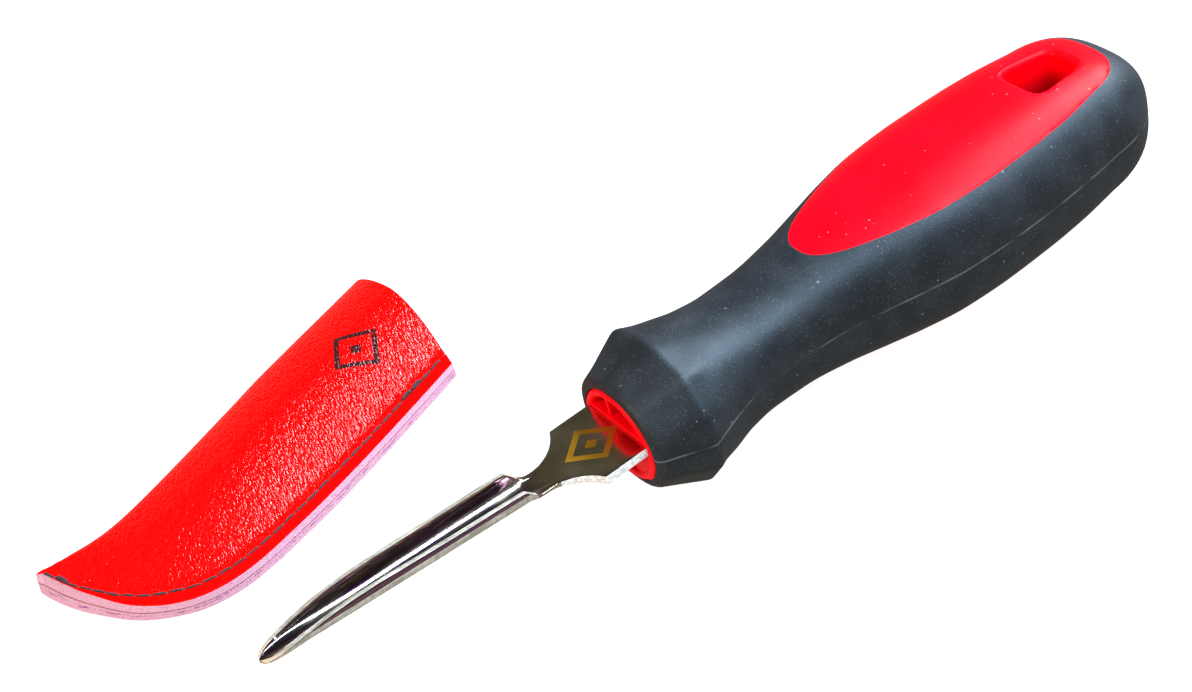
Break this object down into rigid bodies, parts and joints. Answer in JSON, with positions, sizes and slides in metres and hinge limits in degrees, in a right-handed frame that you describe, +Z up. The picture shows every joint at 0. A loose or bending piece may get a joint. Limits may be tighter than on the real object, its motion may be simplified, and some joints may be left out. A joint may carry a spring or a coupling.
{
  "type": "hoof knife with sheath",
  "caption": "Gouge-bladed hoof knife with a two-component grip handle, a hanging hole, and a folded and stitched leather sheath lying beside it.",
  "frame": {"origin": "middle of the footprint of the knife and its sheath, on the surface that they lie on", "axes": "+X along the knife from the blade's tip to the handle's rear end, +Y from the knife towards the sheath, +Z up"},
  "size_m": [0.207, 0.104, 0.0296],
  "materials": {
    "blade_steel": "polished",
    "red_plastic": "satin gloss",
    "black_grip": "matt",
    "red_leather": "glossy grained",
    "dark_thread": "twisted thread"
  },
  "bodies": {
    "knife": {"blade": "blade_steel", "handle_core": "red_plastic", "grip": "black_grip"},
    "sheath": {"sheath_leather": "red_leather", "sheath_needle_thread": "dark_thread", "sheath_bobbin_thread": "dark_thread"}
  },
  "joints": [
    {"name": "sheath_slide", "type": "slide", "parent": "knife", "child": "sheath", "axis": [-0.9563, -0.2924, 0], "range_m": [0, 0.075]}
  ]
}
